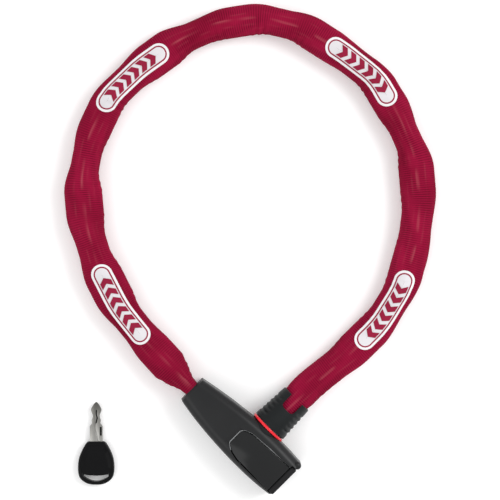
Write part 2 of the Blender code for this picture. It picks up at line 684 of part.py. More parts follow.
def chain_links():
    half = (LINK_PITCH + LINK_SLACK) / 2
    outer = stadium(half + LINK_BAR, LINK_WIDTH / 2)
    inner = rounded_box(half, LINK_WIDTH / 2 - LINK_BAR, LINK_HOLE_CORNER)
    for i in range(LINK_COUNT):
        a, b = JUNCTIONS[i], JUNCTIONS[i + 1]
        x = (b - a).normalized()
        y = Vector((0, 0, 1)).cross(x).normalized()
        z = x.cross(y)
        frame = Matrix((x, y, z)).transposed().to_4x4()
        if i % 2 == 0:
            frame = frame @ Matrix.Rotation(math.radians(90), 4, "X")
        world = Matrix.Translation((a + b) / 2 * MM) @ frame
        parent = body_of_link(i)
        flat(f"chain_link_{i + 1:02d}", [outer, inner], -LINK_BAR / 2, LINK_BAR / 2, "chain",
             in_parent(world, parent), parent)


def smooth_chain():
    """The junction line with each corner rounded: points and the distance along at each."""
    pts = [JUNCTIONS[0]]
    for before, here, after in zip(JUNCTIONS, JUNCTIONS[1:], JUNCTIONS[2:]):
        p = here + (before - here).normalized() * CORNER_ROUND
        q = here + (after - here).normalized() * CORNER_ROUND
        for i in range(9):
            t = i / 8
            pts.append(p * (1 - t) ** 2 + here * 2 * t * (1 - t) + q * t * t)
    pts.append(JUNCTIONS[-1])
    lengths = [0.0]
    for a, b in zip(pts, pts[1:]):
        lengths.append(lengths[-1] + (b - a).length)
    return pts, lengths


LINE, LENGTHS = smooth_chain()


def line_at(s):
    """The point and the direction a distance along the chain."""
    s = min(max(s, 0.0), LENGTHS[-1])
    for i in range(len(LINE) - 1):
        if s <= LENGTHS[i + 1]:
            break
    span = LENGTHS[i + 1] - LENGTHS[i]
    point = LINE[i].lerp(LINE[i + 1], (s - LENGTHS[i]) / span)
    return point


def direction_at(s):
    return (line_at(s + 1.5) - line_at(s - 1.5)).normalized()


def distance_of(junction):
    """Where a junction's rounded corner lies along the line."""
    near = min(range(len(LINE)), key=lambda i: (LINE[i] - JUNCTIONS[junction]).length)
    return LENGTHS[near]


def sleeve_ring(s, half_width, half_height, power):
    centre, ahead = line_at(s), direction_at(s)
    side = Vector((0, 0, 1)).cross(ahead).normalized()
    up = ahead.cross(side)
    return [centre + side * (x * half_width) + up * (y * half_height) for x, y in section_shape(power)]


def sleeve(name, stations, parent):
    """stations: distance, outer half width and height, inner half width and height, power."""
    outer = [sleeve_ring(s, a, b, n) for s, a, b, c, d, n in stations]
    inner = [sleeve_ring(s, c, d, n) for s, a, b, c, d, n in stations]
    back = world_of(parent).inverted()
    rings = [[[[c / MM for c in back @ (p * MM)] for p in ring] for ring in skin]
             for skin in (outer, inner)]
    loft(name, rings[0], "fabric", Matrix.Identity(4), parent, inner=rings[1])


def sleeves():
    full = (*SLEEVE_OUT, *SLEEVE_IN, SLEEVE_POWER)
    for k, ((a, b), pivot) in enumerate(zip(RUNS, PIVOTS)):
        start, end = distance_of(a) + HINGE_GAP / 2, distance_of(b) - HINGE_GAP / 2
        places = [start, start + CORNER_ROUND]
        for j in range(a + 1, b):
            places += [distance_of(j) - CORNER_ROUND, distance_of(j), distance_of(j) + CORNER_ROUND]
        places += [end - CORNER_ROUND, end]
        sleeve(f"sleeve_run_{k + 1}", [(s, *full) for s in places], pivot)
    mouth = (JUNCTIONS[0] - housing_point(HOUSING_STATIONS[0][0] - 0.7, CHAIN_V, AXIS_LIFT[0])).length
    first = distance_of(1) - HINGE_GAP / 2
    pinched = (5.9, 12.9, 5.0, 12.3, 5.0)
    sleeve("sleeve_housing_end", [(mouth, *pinched), ((mouth + first) / 2, 8.8, 12.9, 7.9, 12.2, 4.0),
                                  (first, *full)], None)
    last = distance_of(23) + HINGE_GAP / 2
    boot_mouth = last + (JUNCTIONS[23] - housing_point(0, BOOT_V[1], AXIS_LIFT[23])).length - 1.0
    inside = (12.5, 6.8, 12.1, 6.3, 3.0)
    sleeve("sleeve_connector_end", [(last, *full), (last + 8.0, 13.8, 12.9, 13.0, 12.1, SLEEVE_POWER),
                                    (boot_mouth - 3.0, *inside), (boot_mouth + 7.0, *inside)], CONNECTOR)


chain_links()
sleeves()

# ------------------------------------------------------------------ connector
connector_frame = in_parent(world_of(HOUSING) @ at(0, 0, PIN_AXIS_Z), CONNECTOR)
CONNECTOR_LINE = empty("connector_line", connector_frame, CONNECTOR)
turned("connector_pin", ((0, FORK_BASE_V[0] - GAP), (PIN_R, FORK_BASE_V[0] - GAP), (PIN_R, GROOVE[1]),
                         (GROOVE[2], GROOVE[1]), (GROOVE[2], GROOVE[0]), (PIN_R, GROOVE[0]),
                         (PIN_R, PIN_TIP_V + 1.5), (PIN_R - 1.5, PIN_TIP_V), (0, PIN_TIP_V)),
       "steel", along("Y"), CONNECTOR_LINE, steps=24)
turned("red_ring",
       ((RING_R[1] - 0.5, RING_V[1]), (RING_R[1], RING_V[1] - 0.5), (RING_R[1], RING_V[0] + 0.5),
                    (RING_R[1] - 0.5, RING_V[0]), (RING_R[0], RING_V[0]), (RING_R[0], RING_V[1])),
       "red", along("Y"), CONNECTOR_LINE, steps=36)
boot = turned("connector_boot", ((BOOT_R[1], BOOT_V[1]), (BOOT_R[0], BOOT_V[0]), (BOOT_BORE, BOOT_V[0]),
                                 (BOOT_BORE, BOOT_V[1])), "rubber", along("Y"), CONNECTOR_LINE, steps=28)
half_notch = NOTCH[0] / 2
notch_outline = arc(0, BOOT_V[1] - NOTCH[1] + half_notch, half_notch, 180, 360, 8) + [(half_notch, 50),
                                                                                      (-half_notch, 50)]
boolean(boot, flat("boot_notch", [notch_outline], 5.0, 25.0, None, Matrix.Identity(4), CONNECTOR_LINE,
                   cutter=True))
fork = rod("connector_fork", BOOT_BORE - 0.4, FORK_BASE_V[0], FORK_BASE_V[1], "steel", along("Y"),
           CONNECTOR_LINE,
           sides=28)
boolean(fork,
        block("fork_tongue", (-FORK_HALF_WIDTH, FORK_HALF_WIDTH), (FORK_BASE_V[1] - 1, CROSS_PIN_V + 5),
                    (-FORK_HALF_HEIGHT, FORK_HALF_HEIGHT), None, CONNECTOR_LINE, cutter=True), "UNION")
boolean(fork, block("fork_slot", (-20, 20), (FORK_BASE_V[1] + 0.6, 60), (-FORK_SLOT, FORK_SLOT), None,
                    CONNECTOR_LINE, cutter=True))
boolean(fork, rod("fork_pin_hole", CROSS_PIN_R + GAP, -20, 20, None, at(0, CROSS_PIN_V, 0), CONNECTOR_LINE,
                  cutter=True, sides=16))
rod("connector_cross_pin", CROSS_PIN_R, -FORK_HALF_HEIGHT + 0.3, FORK_HALF_HEIGHT - 0.3, "steel",
    at(0, CROSS_PIN_V, 0), CONNECTOR_LINE, sides=16)

# ------------------------------------------------------------------ key
KEY = empty("key_lift", at(KEY_TIP[0], KEY_TIP[1], 0) @ Matrix.Rotation(math.radians(180), 4, "Z"), None)


def key_blade():
    left = [(-x, d) for x, d in KEY_BLADE]
    outline = left + [(x, d) for x, d in reversed(KEY_BLADE)]
    blade = flat("key_blade", [outline], KEY_BLADE_Z[0], KEY_BLADE_Z[1], "key", Matrix.Identity(4), KEY)
    boolean(blade, block("key_slot_cut", (-4.6, -3.0), (20.4, 27.6), (0, 9), None, KEY, cutter=True))


def key_slot_edge(edge, steps=8):
    """One edge of the ring slot from its left end to its right end."""
    middle, end = edge
    return [(KEY_SLOT_HALF * t, middle + (end - middle) * t * t)
            for t in (i * 2 / steps - 1 for i in range(steps + 1))]


def key_bow():
    """An egg-shaped head with a smiling slot for a key ring."""
    outline = [(x, d) for d, x in KEY_BOW] + [(-x, d) for d, x in reversed(KEY_BOW)]
    bow = flat("key_bow", [outline], 0.0, KEY_BOW_THICK, "bow", Matrix.Identity(4), KEY)
    bevel(bow, 1.2, 2, 50)
    pocket = block("bow_blade_seat", (-5.3 - GAP, 5.3 + GAP), (20, 36.0 + GAP),
                   (KEY_BLADE_Z[0] - GAP, KEY_BLADE_Z[1] + GAP), None, KEY, cutter=True)
    boolean(bow, pocket)
    smile = key_slot_edge(KEY_SLOT_UPPER) + key_slot_edge(KEY_SLOT_LOWER)[::-1]
    boolean(bow, flat("bow_ring_slot", [smile], -5, 20, None, Matrix.Identity(4), KEY, cutter=True))


key_blade()
key_bow()
bpy.context.view_layer.update()
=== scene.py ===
"""Looks of the chain lock: fabric sleeve, printed patches, ribbed boot, housing, key and a plain studio."""

import json
import math

import bmesh
import bpy
import numpy as np
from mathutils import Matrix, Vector


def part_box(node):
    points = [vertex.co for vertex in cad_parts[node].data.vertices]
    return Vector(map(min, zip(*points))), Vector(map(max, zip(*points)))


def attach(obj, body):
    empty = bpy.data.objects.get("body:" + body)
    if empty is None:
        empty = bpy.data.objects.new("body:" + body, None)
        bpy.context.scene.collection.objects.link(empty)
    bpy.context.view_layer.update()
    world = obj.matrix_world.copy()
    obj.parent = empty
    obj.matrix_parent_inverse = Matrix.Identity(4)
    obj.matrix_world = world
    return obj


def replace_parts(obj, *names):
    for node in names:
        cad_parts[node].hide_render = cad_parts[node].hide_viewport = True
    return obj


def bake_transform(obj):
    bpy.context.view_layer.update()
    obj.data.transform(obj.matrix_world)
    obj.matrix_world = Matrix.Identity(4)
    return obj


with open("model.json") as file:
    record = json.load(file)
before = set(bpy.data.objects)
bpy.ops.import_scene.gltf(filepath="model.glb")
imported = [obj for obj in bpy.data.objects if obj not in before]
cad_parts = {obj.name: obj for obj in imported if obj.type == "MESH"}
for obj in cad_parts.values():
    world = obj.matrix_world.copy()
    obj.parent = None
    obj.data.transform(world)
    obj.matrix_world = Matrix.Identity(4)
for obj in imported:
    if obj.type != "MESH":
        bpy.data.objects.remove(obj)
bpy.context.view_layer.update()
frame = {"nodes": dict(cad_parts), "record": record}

MM = 0.001
KEY_TARNISH = (-0.158, -0.124)    # from clean to dark, along Y

# ------------------------------------------------------------------ camera
CAMERA_HEIGHT = 1.762
CAMERA_ANGLE = 13.36
camera_data = bpy.data.cameras.new("camera")
camera_data.type = "PERSP"
camera_data.angle = math.radians(CAMERA_ANGLE)
camera_data.clip_end = 20.0
camera = bpy.data.objects.new("camera", camera_data)
camera.location = (0.0, -0.0008, CAMERA_HEIGHT)
bpy.context.scene.collection.objects.link(camera)
bpy.context.scene.camera = camera
bpy.context.scene.view_settings.view_transform = "Standard"


# ------------------------------------------------------------------ materials
class Shader:
    """A Principled material with small procedural helpers."""

    def __init__(self, name, colour, roughness, metallic=0.0):
        self.mat = bpy.data.materials.new(name)
        self.mat.use_nodes = True
        self.nodes, self.links = self.mat.node_tree.nodes, self.mat.node_tree.links
        self.bsdf = self.nodes["Principled BSDF"]
        self.bsdf.inputs["Metallic"].default_value = metallic
        self.bsdf.inputs["Roughness"].default_value = roughness
        self.bsdf.inputs["Base Color"].default_value = (*colour, 1)
        self.colour, self.roughness, self.height = colour, roughness, None
        self.coords = self.nodes.new("ShaderNodeTexCoord").outputs["Object"]

    def noise(self, scale, detail=3.0, stretch=None):
        node = self.nodes.new("ShaderNodeTexNoise")
        node.inputs["Scale"].default_value = scale
        node.inputs["Detail"].default_value = detail
        source = self.coords
        if stretch:
            mapping = self.nodes.new("ShaderNodeMapping")
            mapping.inputs["Scale"].default_value = stretch
            mapping.inputs["Rotation"].default_value = (0, 0, math.radians(45))
            self.links.new(source, mapping.inputs["Vector"])
            source = mapping.outputs["Vector"]
        self.links.new(source, node.inputs["Vector"])
        return node.outputs["Fac"]

    def spread(self, fac, low, high):
        node = self.nodes.new("ShaderNodeMapRange")
        node.inputs["From Min"].default_value, node.inputs["From Max"].default_value = 0.3, 0.7
        node.inputs["To Min"].default_value, node.inputs["To Max"].default_value = low, high
        self.links.new(fac, node.inputs["Value"])
        return node.outputs["Result"]

    def mix(self, fac, a, b):
        node = self.nodes.new("ShaderNodeMix")
        node.data_type = "RGBA"
        self.links.new(fac, node.inputs["Factor"])
        for socket, value in ((node.inputs["A"], a), (node.inputs["B"], b)):
            if isinstance(value, tuple):
                socket.default_value = (*value, 1)
            else:
                self.links.new(value, socket)
        return node.outputs["Result"]

    def tint(self, fac, share):
        low = tuple(c * (1 - share) for c in self.colour)
        high = tuple(min(1.0, c * (1 + share)) for c in self.colour)
        self.links.new(self.mix(fac, low, high), self.bsdf.inputs["Base Color"])
        return self

    def rough(self, fac, spread):
        spread = min(spread, self.roughness * 0.5)
        out = self.spread(fac, self.roughness - spread, self.roughness + spread)
        self.links.new(out, self.bsdf.inputs["Roughness"])
        return self

    def bump(self, height, distance, strength=0.5):
        node = self.nodes.new("ShaderNodeBump")
        node.inputs["Distance"].default_value = distance
        node.inputs["Strength"].default_value = strength
        self.links.new(height, node.inputs["Height"])
        if self.height:
            self.links.new(self.height, node.inputs["Normal"])
        self.height = node.outputs["Normal"]
        self.links.new(self.height, self.bsdf.inputs["Normal"])
        return self

    def attribute(self, name):
        node = self.nodes.new("ShaderNodeAttribute")
        node.attribute_name = name
        return node.outputs["Fac"]


def plastic(name, colour, roughness, grain=0.00006, vary=0.1, gloss=0.5):
    s = Shader(name, colour, roughness)
    s.bsdf.inputs["Specular IOR Level"].default_value = gloss
    s.tint(s.spread(s.noise(45), 0, 1), vary).rough(s.noise(30, 6), 0.07)
    return s.bump(s.noise(2600, 2), grain, 0.35)


def metal(name, colour, roughness, brush=(1, 1, 1)):
    s = Shader(name, colour, roughness, 1.0)
    s.tint(s.spread(s.noise(60, 6), 0, 1), 0.12).rough(s.noise(90, 6), 0.08)
    return s.bump(s.noise(900, 4, stretch=brush), 0.00004, 0.4)


def blade_metal():
    """Plated steel, tarnished towards the key's tip."""
    s = metal("key_steel", (0.39, 0.385, 0.365), 0.34, brush=(8, 1, 1))
    split = s.nodes.new("ShaderNodeSeparateXYZ")
    s.links.new(s.coords, split.inputs["Vector"])
    fade = s.nodes.new("ShaderNodeMapRange")
    fade.inputs["From Min"].default_value, fade.inputs["From Max"].default_value = KEY_TARNISH
    s.links.new(split.outputs["Y"], fade.inputs["Value"])
    old = s.bsdf.inputs["Base Color"].links[0].from_socket
    s.links.new(s.mix(fade.outputs["Result"], old, (0.085, 0.083, 0.075)), s.bsdf.inputs["Base Color"])
    return s


def fabric():
    s = Shader("sleeve_fabric", (0.28, 0.008, 0.038), 0.9)
    cloud = s.spread(s.noise(26, 6), 0, 1)
    base = s.mix(cloud, (0.210, 0.0038, 0.0245), (0.312, 0.0076, 0.042))
    # painted shade: the rib valleys are mixed towards a darker crimson by the rib attribute
    ribbed = s.mix(s.attribute("rib"), (0.09, 0.0015, 0.011), base)
    # painted highlight: pale lines along the top folds, by the ridge attribute
    painted_highlight_mix = s.mix(s.attribute("ridge"), ribbed, (0.42, 0.09, 0.11))
    s.links.new(painted_highlight_mix, s.bsdf.inputs["Base Color"])
    s.bsdf.inputs["Specular IOR Level"].default_value = 0.05
    s.rough(s.noise(50, 5), 0.08)
    return s.bump(s.noise(1500, 3), 0.00025, 0.6)


MATS = {
    "housing": plastic("housing_plastic", (0.0085, 0.009, 0.0098), 0.38, gloss=0.28),
    "panel": plastic("panel_gloss", (0.008, 0.0085, 0.009), 0.16, grain=0.00001, gloss=0.28),
    "dark": plastic("dark_plastic", (0.006, 0.006, 0.007), 0.45, gloss=0.22),
    "rubber": plastic("boot_rubber", (0.0065, 0.0082, 0.0088), 0.45, grain=0.00008, gloss=0.2),
    "red": plastic("ring_red", (0.78, 0.010, 0.022), 0.12, grain=0.00001, vary=0.05),
    "fabric": fabric(),
    "chain": metal("chain_steel", (0.50, 0.50, 0.49), 0.35),
    "steel": metal("hardened_steel", (0.45, 0.46, 0.47), 0.3, brush=(1, 6, 1)),
    "brass": metal("cylinder_brass", (0.60, 0.45, 0.18), 0.32),
    "spring": metal("spring_steel", (0.55, 0.56, 0.58), 0.25),
    "key": blade_metal(),
    "bow": plastic("key_head_plastic", (0.0035, 0.0035, 0.004), 0.36, gloss=0.09),
    # near-black, for the pieces that stand for painted shade in the key's groove and slot
    "groove": plastic("key_groove_shade", (0.006, 0.006, 0.006), 0.6, gloss=0.05),
    "print": plastic("patch_white", (0.74, 0.73, 0.74), 0.7, grain=0.0001, vary=0.04, gloss=0.1),
    "print_grey": plastic("patch_grey", (0.66, 0.64, 0.66), 0.7, grain=0.0001, vary=0.06, gloss=0.1),
    "print_red": plastic("patch_crimson", (0.26, 0.012, 0.04), 0.75, grain=0.0001, vary=0.1, gloss=0.1),
}
SLOT_MATS = {
    "housing_plastic": "housing", "panel_gloss": "panel", "dark_plastic": "dark", "boot_rubber": "rubber",
    "ring_red": "red", "sleeve_fabric": "fabric", "chain_steel": "chain", "hardened_steel": "steel",
    "cylinder_brass": "brass", "spring_steel": "spring", "key_steel": "key", "key_head_plastic": "bow",
}
for entry in frame["record"]["subparts"]:
    node = frame["nodes"][entry["node"]]
    node.data.materials.clear()
    node.data.materials.append(MATS[SLOT_MATS[entry["material_slot"]]].mat)


# ------------------------------------------------------------------ mesh helpers
def piece(name, verts, faces, mats, sharp=40, slot=None):
    """A mesh from points in millimetres; faces may come as (face, material number)."""
    numbers = None
    if faces and isinstance(faces[0][0], (tuple, list)):
        faces, numbers = [f for f, _ in faces], [m for _, m in faces]
    mesh = bpy.data.meshes.new(name)
    mesh.from_pydata([tuple(c * MM for c in v) for v in verts], [], faces)
    for mat in [mats] if isinstance(mats, str) else mats:
        mesh.materials.append(MATS[mat].mat)
    if numbers:
        mesh.polygons.foreach_set("material_index", numbers)
    ob = bpy.data.objects.new(name, mesh)
    bpy.context.scene.collection.objects.link(ob)
    finish_mesh(ob, sharp)
    return ob


def finish_mesh(ob, sharp):
    bm = bmesh.new()
    bm.from_mesh(ob.data)
    bmesh.ops.recalc_face_normals(bm, faces=bm.faces)
    bm.to_mesh(ob.data)
    bm.free()
    ob.data.shade_smooth()
    ob.data.set_sharp_from_angle(angle=math.radians(sharp))


def skin(rings, closed_ends=True):
    """Points and faces of a skin over closed rings with equal counts."""
    count = len(rings[0])
    verts = [p for ring in rings for p in ring]
    faces = []
    for k in range(len(rings) - 1):
        for i in range(count):
            j = (i + 1) % count
            faces.append((k * count + i, k * count + j, (k + 1) * count + j, (k + 1) * count + i))
    if closed_ends:
        faces.append(tuple(range(count)))
        faces.append(tuple((len(rings) - 1) * count + i for i in range(count)))
    return verts, faces


def cutter(verts, faces):
    """A mesh that is only there to be taken out of a piece."""
    mesh = bpy.data.meshes.new("cutter")
    mesh.from_pydata([tuple(c * MM for c in v) for v in verts], [], faces)
    ob = bpy.data.objects.new("cutter", mesh)
    bpy.context.scene.collection.objects.link(ob)
    finish_mesh(ob, 40)
    return ob


def cut(ob, tools, sharp=40, bevel=0.0):
    """Takes the tools out of a piece, then softens the new edges."""
    for tool in tools:
        mod = ob.modifiers.new("cut", "BOOLEAN")
        mod.operation, mod.solver, mod.object = "DIFFERENCE", "EXACT", tool
    if bevel:
        mod = ob.modifiers.new("soften", "BEVEL")
        mod.width, mod.segments, mod.limit_method = bevel * MM, 2, "ANGLE"
        mod.angle_limit = math.radians(sharp)
    mesh = bpy.data.meshes.new_from_object(ob.evaluated_get(bpy.context.evaluated_depsgraph_get()))
    ob.modifiers.clear()
    ob.data = mesh
    mesh.name = ob.name
    for tool in tools:
        bpy.data.objects.remove(tool, do_unlink=True)
    ob.data.shade_smooth()
    ob.data.set_sharp_from_angle(angle=math.radians(sharp))


def prism(outline, low, high, frame_of):
    """A cutter with a plan outline, placed by a function of (x, y, z)."""
    rings = [[frame_of(x, y, z) for x, y in outline] for z in (low, high)]
    return cutter(*skin(rings))


def arc(cx, cy, radius, start, end, steps):
    angles = np.radians(np.linspace(start, end, steps + 1))
    return [(cx + radius * math.cos(a), cy + radius * math.sin(a)) for a in angles]


def rounded(points, radius, steps=5):
    """A closed outline with each corner filleted."""
    out = []
    pts = [Vector(p) for p in points]
    for before, here, after in zip(pts[-1:] + pts[:-1], pts, pts[1:] + pts[:1]):
        a = here + (before - here).normalized() * min(radius, (before - here).length * 0.45)
        b = here + (after - here).normalized() * min(radius, (after - here).length * 0.45)
        for t in np.linspace(0, 1, steps + 1):
            out.append(tuple(a * (1 - t) ** 2 + here * 2 * t * (1 - t) + b * t * t))
    return out


def shrunk(outline, amount):
    """A convex outline drawn in towards its middle by an amount."""
    middle = Vector(np.mean(np.array(outline), axis=0))
    out = []
    for p in outline:
        d = Vector(p) - middle
        out.append(tuple(middle + d * (1 - amount / d.length)))
    return out


# ------------------------------------------------------------------ frames
TURN = math.radians(-45)          # the housing's long axis U from X
HOUSING = (14.6, -146.0)          # the housing frame's origin, on the connector's axis
PIN_AXIS_Z = 16.5                 # height of the connector's axis
CHAIN_V = -21.7                   # where the chain enters the housing, across it


def housing(u, v, z):
    """A point of the housing frame in the object's frame, in millimetres."""
    return (HOUSING[0] + u * math.cos(TURN) - v * math.sin(TURN),
            HOUSING[1] + u * math.sin(TURN) + v * math.cos(TURN), z)


# ------------------------------------------------------------------ the chain's middle line
JOINTS = {j["name"]: j for j in frame["record"]["behaviour"]["joints"]}
HINGES = [f"chain_hinge_{k}" for k in range(1, 8)] + ["connector_hinge"]
LINK_COUNT = 24
CORNER = 10.0                     # how far from a junction the sleeve starts to bend
STEP = 0.45                       # spacing of the sleeve's rings
SMOOTH_OVER = 15                  # points over which the line's direction is averaged


def centre_of(node):
    low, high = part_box(node)
    return (np.array(low) + np.array(high)) / 2 / MM


def junctions():
    """Where each two links meet, from the links' middles and the first hinge."""
    found = [None, np.array(JOINTS["chain_hinge_1"]["pos_m"]) / MM]
    found[0] = 2 * centre_of("chain_link_01") - found[1]
    for i in range(2, LINK_COUNT + 1):
        found.append(2 * centre_of(f"chain_link_{i:02d}") - found[-1])
    return found


def middle_line(corners):
    pts = [corners[0]]
    for before, here, after in zip(corners, corners[1:], corners[2:]):
        p = here + (before - here) / np.linalg.norm(before - here) * CORNER
        q = here + (after - here) / np.linalg.norm(after - here) * CORNER
        for t in np.linspace(0, 1, 13):
            pts.append(p * (1 - t) ** 2 + here * 2 * t * (1 - t) + q * t * t)
    pts.append(corners[-1])
    pts = np.array(pts)
    along = np.concatenate([[0], np.cumsum(np.linalg.norm(np.diff(pts, axis=0), axis=1))])
    s = np.arange(0, along[-1], STEP)
    line = np.stack([np.interp(s, along, pts[:, k]) for k in range(3)], axis=1)
    return s, line


JUNCTIONS = junctions()
LINE_S, LINE = middle_line(JUNCTIONS)
AHEAD = np.gradient(LINE, axis=0)
KERNEL = np.hanning(SMOOTH_OVER)
KERNEL /= KERNEL.sum()
AHEAD = np.stack([np.convolve(np.pad(AHEAD[:, k], SMOOTH_OVER // 2, mode="edge"), KERNEL, "valid")
                  for k in range(3)], axis=1)
AHEAD /= np.linalg.norm(AHEAD, axis=1)[:, None]
SIDE = np.cross([0, 0, 1], AHEAD)
SIDE /= np.linalg.norm(SIDE, axis=1)[:, None]
UP = np.cross(AHEAD, SIDE)


def distance_of(point):
    return LINE_S[np.argmin(np.linalg.norm(LINE - np.asarray(point), axis=1))]


JUNCTION_S = np.array([distance_of(p) for p in JUNCTIONS])
LINK_S = (JUNCTION_S[:-1] + JUNCTION_S[1:]) / 2
BENDS = np.zeros(LINK_COUNT + 1)   # signed bend at each junction, radians, positive to the left
for i in range(1, LINK_COUNT):
    a, b = JUNCTIONS[i] - JUNCTIONS[i - 1], JUNCTIONS[i + 1] - JUNCTIONS[i]
    BENDS[i] = math.atan2(a[0] * b[1] - a[1] * b[0], a[0] * b[0] + a[1] * b[1])

# ------------------------------------------------------------------ sleeve surface
# width of the sleeve over each link from the second: wide over a flat link, narrow over one on edge
SLEEVE_WIDTHS = (29.4, 25.6, 32.0, 25.7, 31.2, 23.5, 27.6, 25.5, 30.7, 22.6, 25.6,
                 23.2, 27.8, 25.0, 28.4, 22.9, 29.4, 25.9, 28.3, 25.4, 28.9, 25.1)
RIB_PITCH = 1.8
RIB_DEPTH = 0.32
RIDGE_HEIGHT = 0.22               # a lengthwise fold along the top
RIDGE_HALF = 0.9
CREASE_HALF = 0.5
TOP_RADIUS = 12.0                 # turns an angle near the top into millimetres
FLOOR_GAP = 0.06
COLUMNS = 96                      # points round a tube or a ring
CREASES = ((0.0, 0.5), (0.33, 0.13), (-0.36, 0.15), (0.66, 0.08))   # angle from the top, how strong its painted highlight is
MOUTH_S = distance_of(housing(-64.0, CHAIN_V, 14.4))
BOOT_MOUTH_S = distance_of(housing(0.0, 33.6, 15.0))
SLEEVE_END_S = distance_of(housing(0.0, 18.6, PIN_AXIS_Z))


def smooth_interp(x, xp, fp):
    """Interpolation that eases in and out at each given point."""
    xp, fp = np.asarray(xp, float), np.asarray(fp, float)
    i = np.clip(np.searchsorted(xp, x) - 1, 0, len(xp) - 2)
    t = np.clip((x - xp[i]) / (xp[i + 1] - xp[i]), 0, 1)
    t = t * t * (3 - 2 * t)
    return fp[i] * (1 - t) + fp[i + 1] * t


def profile(start, over_links, end):
    """Distances and values along the sleeve: the housing end, plateaus over the links, the boot end."""
    pairs = list(start)
    for link, (value, reach) in enumerate(over_links, 2):
        pairs += [(LINK_S[link - 1] - reach, value), (LINK_S[link - 1] + reach, value)]
    pairs = [p for p in pairs if p[0] < end[0][0] - 1] + list(end)
    return [p[0] for p in pairs], [p[1] for p in pairs]


FIRST = JUNCTION_S[1]
BOOT_END = [(BOOT_MOUTH_S - 6, 25.6), (BOOT_MOUTH_S + 1.5, 23.8), (SLEEVE_END_S, 23.6)]
WIDTH_AT, WIDTHS = profile(
    [(MOUTH_S, 11.6), (FIRST - 12, 13.6), (FIRST - 7, 17.4), (FIRST - 3, 21.4), (FIRST + 1, 24.4)],
    [(w, 8 if link % 2 == 0 else 4) for link, w in enumerate(SLEEVE_WIDTHS, 2)], BOOT_END)
TOP_AT, TOPS = profile(
    [(MOUTH_S, 12.3), (FIRST - 8, 12.6)],
    [(10.9, 3) if link % 2 == 0 else (12.8, 13.5) for link in range(2, 24)],
    [(BOOT_MOUTH_S - 6, 11.8), (BOOT_MOUTH_S + 1.5, 11.2), (SLEEVE_END_S, 11.2)])
FOOT_AT, FEET = profile([(MOUTH_S, 12.3)], [(12.5, 13.5)] * 22,
                        [(BOOT_MOUTH_S - 6, 12.2), (BOOT_MOUTH_S + 1.5, 11.2), (SLEEVE_END_S, 11.2)])
# how square the section is
POWER_AT, POWERS = [MOUTH_S, FIRST - 12, FIRST - 4, FIRST + 8], [6.0, 5.0, 3.2, 2.25]


def ripple(a, b, seed):
    """A smooth random-looking field of two coordinates."""
    rng = np.random.default_rng(seed)
    out = np.zeros(np.broadcast(a, b).shape)
    for _ in range(7):
        fa, fb, phase = rng.uniform(0.5, 1.6), rng.integers(1, 5), rng.uniform(0, 6.28)
        out = out + np.sin(fa * a + fb * b + phase)
    return out / 3.0


def folds(s, t):
    """Buckles on the inner side of each bend, and a shallow pinch at each junction."""
    out = np.zeros(np.broadcast(s, t).shape)
    for at, bend in zip(JUNCTION_S[1:-1], BENDS[1:-1]):
        if not bend:
            continue
        inner = np.clip(np.cos(t) * math.copysign(1, bend) * 0.75 + 0.35, 0, 1)
        depth = min(abs(math.degrees(bend)) * 0.085, 1.9)
        near = np.exp(-((s - at) / 9.0) ** 2)
        slant = 0.35 * np.cos(t) * math.copysign(1, bend)
        out = out + inner * depth * near * (0.45 + np.cos((s - at) * 2 * math.pi / 7.0 + slant))
    return out


def surface(s, t, lift=0.0, ribs=1.0):
    """Points of the sleeve and its ribs at distances s and angles t; t is a quarter turn on top."""
    i = np.clip(s / STEP, 0, len(LINE_S) - 1.001)
    k, f = i.astype(int), (i - i.astype(int))[..., None]
    line, side, up = (a[k] * (1 - f) + a[k + 1] * f for a in (LINE, SIDE, UP))
    half = smooth_interp(s, WIDTH_AT, WIDTHS) / 2
    top, foot = smooth_interp(s, TOP_AT, TOPS), smooth_interp(s, FOOT_AT, FEET)
    power = smooth_interp(s, POWER_AT, POWERS)
    c, d = np.cos(t), np.sin(t)
    x = np.sign(c) * np.abs(c) ** (2 / power) * half
    y = np.where(d > 0, top, foot) * np.sign(d) * np.abs(d) ** (2 / power)
    shown = np.clip(0.4 + 0.9 * d, 0, 1)           # the foot stays flat on the floor
    calm = np.clip((s - MOUTH_S) / 12, 0, 1) * np.clip((BOOT_MOUTH_S - 2 - s) / 8, 0, 1)
    swell = 0.14 * ripple(s / 9.0, t, 3) + 0.12 * ripple(s / 4.0, t, 11) + 0.5 * folds(s, t)
    rib = np.abs(np.sin(math.pi * (s + 0.25 * ripple(s / 14.0, t, 5)) / RIB_PITCH)) ** 0.8
    groove = ribs * RIB_DEPTH * (rib - 1.0) * np.clip(0.25 + 1.2 * d, 0.15, 1)
    ridge = np.exp(-((t - math.pi / 2 - 0.05 * np.sin(s / 23.0)) * TOP_RADIUS / RIDGE_HALF) ** 2)
    grow = swell * shown * calm + groove + RIDGE_HEIGHT * ridge + lift
    norm = np.sqrt(x * x + y * y) + 1e-9
    x, y = x + grow * x / norm, y + grow * y / norm
    return line + side * x[..., None] + up * y[..., None], rib


def attribute(mesh, name, values):
    mesh.attributes.new(name, "FLOAT", "POINT").data.foreach_set("value", values.astype(np.float32).ravel())


